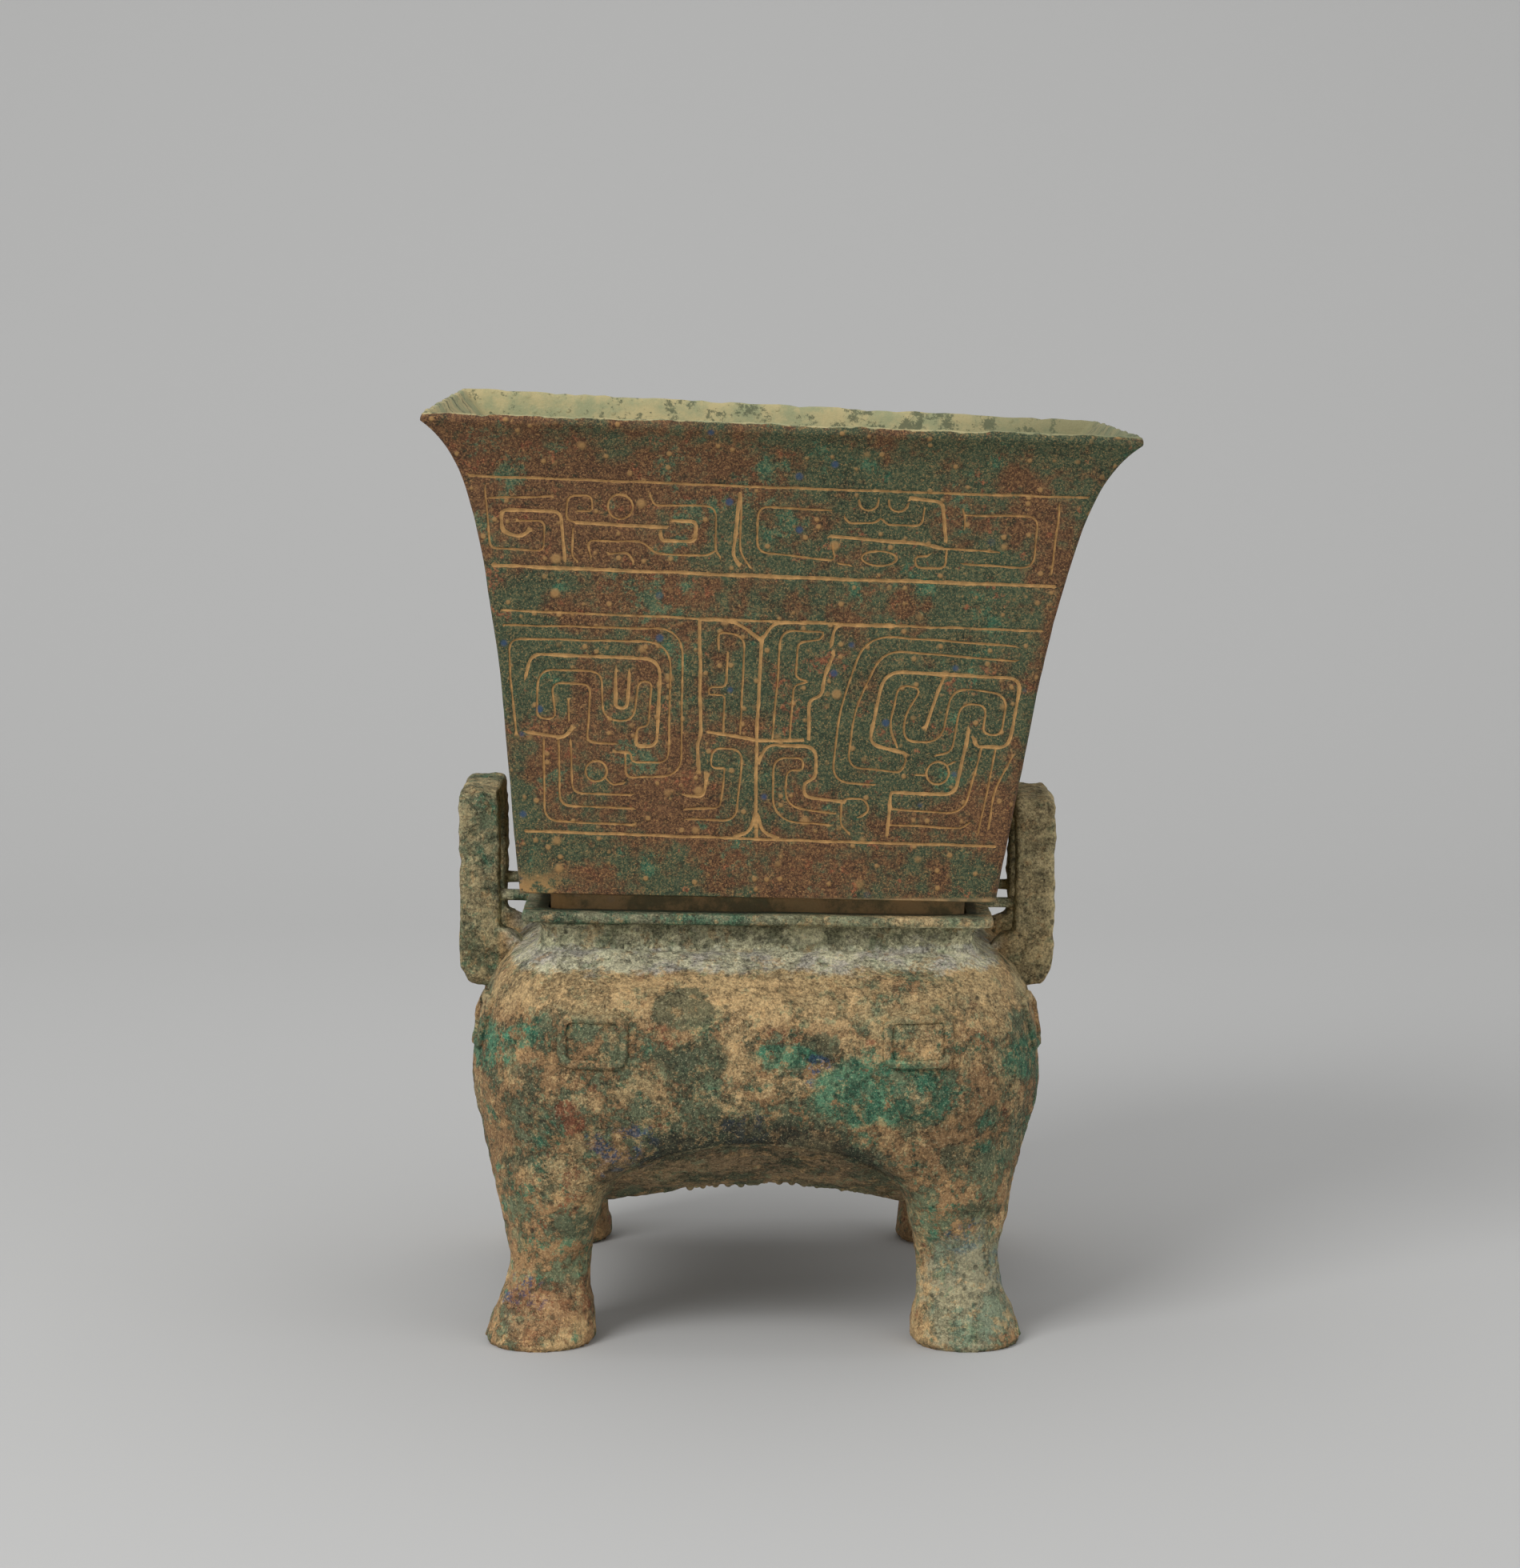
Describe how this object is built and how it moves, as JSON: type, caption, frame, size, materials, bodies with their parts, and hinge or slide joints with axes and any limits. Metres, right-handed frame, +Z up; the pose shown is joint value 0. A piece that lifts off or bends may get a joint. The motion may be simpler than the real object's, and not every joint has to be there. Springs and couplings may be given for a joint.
{
  "type": "rectangular bronze food steamer",
  "caption": "Ancient rectangular bronze steamer: flaring box with sunk dragon ornament and slotted floor, set in a four-legged boiler with upright loop handles.",
  "frame": {"origin": "centre of the whole vessel's box in plan, on the surface the four feet stand on", "axes": "+Z up, +X to the vessel's right in the picture, the ornamented front faces -Y"},
  "size_m": [0.3402, 0.2776, 0.4564],
  "materials": {
    "boiler_bronze": "olive and tan corroded bronze with malachite patches, matte",
    "steamer_bronze": "red-brown and dark green corroded bronze, ochre clay in the sunk lines, matte"
  },
  "bodies": {
    "root": {"boiler_body": "boiler_bronze", "boiler_collar": "boiler_bronze", "back_right_leg": "boiler_bronze", "back_left_leg": "boiler_bronze", "front_left_leg": "boiler_bronze", "front_right_leg": "boiler_bronze", "left_handle": "boiler_bronze", "right_handle": "boiler_bronze", "steamer_box": "steamer_bronze"}
  },
  "joints": []
}
